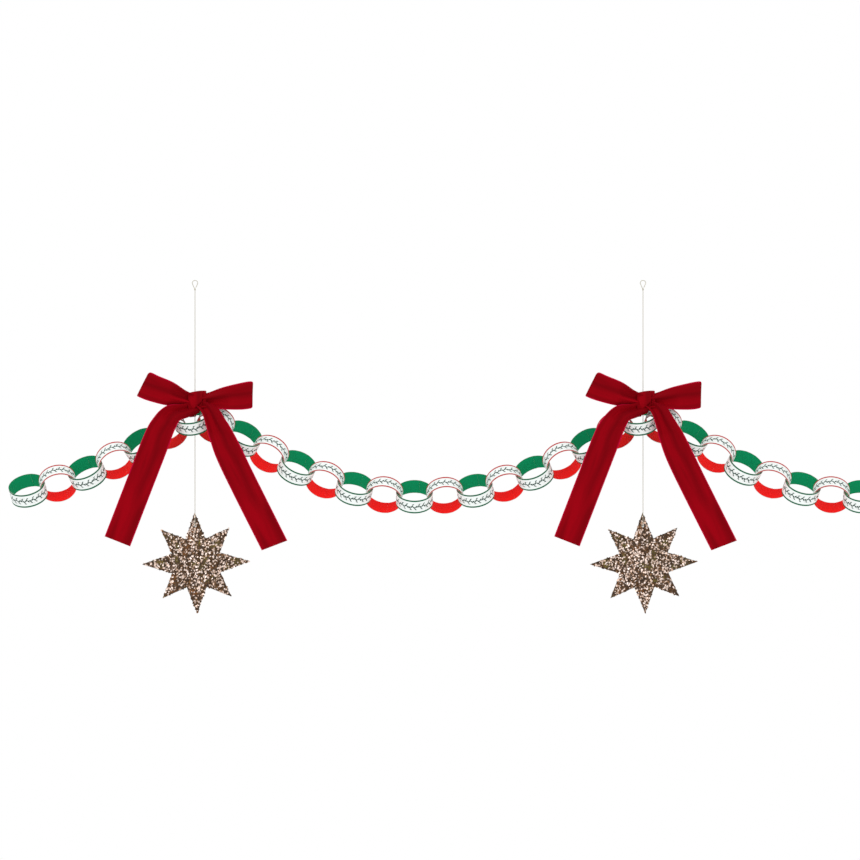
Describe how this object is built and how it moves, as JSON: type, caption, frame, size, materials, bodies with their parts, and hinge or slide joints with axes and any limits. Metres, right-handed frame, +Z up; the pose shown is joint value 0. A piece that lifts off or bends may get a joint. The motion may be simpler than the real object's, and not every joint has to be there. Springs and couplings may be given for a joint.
{
  "type": "paper chain garland",
  "caption": "Garland of interlinked card rings hanging in swags from velvet ribbon bows, with flat glitter stars on threads below the bows.",
  "frame": {"origin": "top of the left hanging loop", "axes": "+X along the chain to the viewer's right, +Y away from the viewer, +Z up"},
  "size_m": [1.3092, 0.0687, 0.5002],
  "materials": {
    "green_lined_card": "matt card, plain green inside, white with a dark green sprig print and green edge lines outside",
    "red_lined_card": "matt card, plain red inside, white with a dark green sprig print and red edge lines outside",
    "crimson_velvet": "dark crimson velvet ribbon with a brighter pile sheen at the edges",
    "metallic_thread": "twisted pale thread with a metallic strand",
    "champagne_glitter": "thick card covered with chunky champagne and bronze glitter flakes"
  },
  "bodies": {
    "root": {"bow_left": "crimson_velvet", "bow_left_tail_left": "crimson_velvet", "bow_left_tail_right": "crimson_velvet", "bow_right": "crimson_velvet", "bow_right_tail_left": "crimson_velvet", "bow_right_tail_right": "crimson_velvet", "green_link_01": "green_lined_card", "green_link_03": "green_lined_card", "green_link_05": "green_lined_card", "green_link_07": "green_lined_card", "green_link_09": "green_lined_card", "green_link_11": "green_lined_card", "green_link_13": "green_lined_card", "green_link_15": "green_lined_card", "green_link_17": "green_lined_card", "green_link_19": "green_lined_card", "green_link_21": "green_lined_card", "green_link_23": "green_lined_card", "green_link_25": "green_lined_card", "green_link_27": "green_lined_card", "green_link_29": "green_lined_card", "green_link_31": "green_lined_card", "hanging_thread_left": "metallic_thread", "hanging_thread_right": "metallic_thread", "red_link_02": "red_lined_card", "red_link_04": "red_lined_card", "red_link_06": "red_lined_card", "red_link_08": "red_lined_card", "red_link_10": "red_lined_card", "red_link_12": "red_lined_card", "red_link_14": "red_lined_card", "red_link_16": "red_lined_card", "red_link_18": "red_lined_card", "red_link_20": "red_lined_card", "red_link_22": "red_lined_card", "red_link_24": "red_lined_card", "red_link_26": "red_lined_card", "red_link_28": "red_lined_card", "red_link_30": "red_lined_card", "star_left": "champagne_glitter", "star_right": "champagne_glitter"}
  },
  "joints": []
}
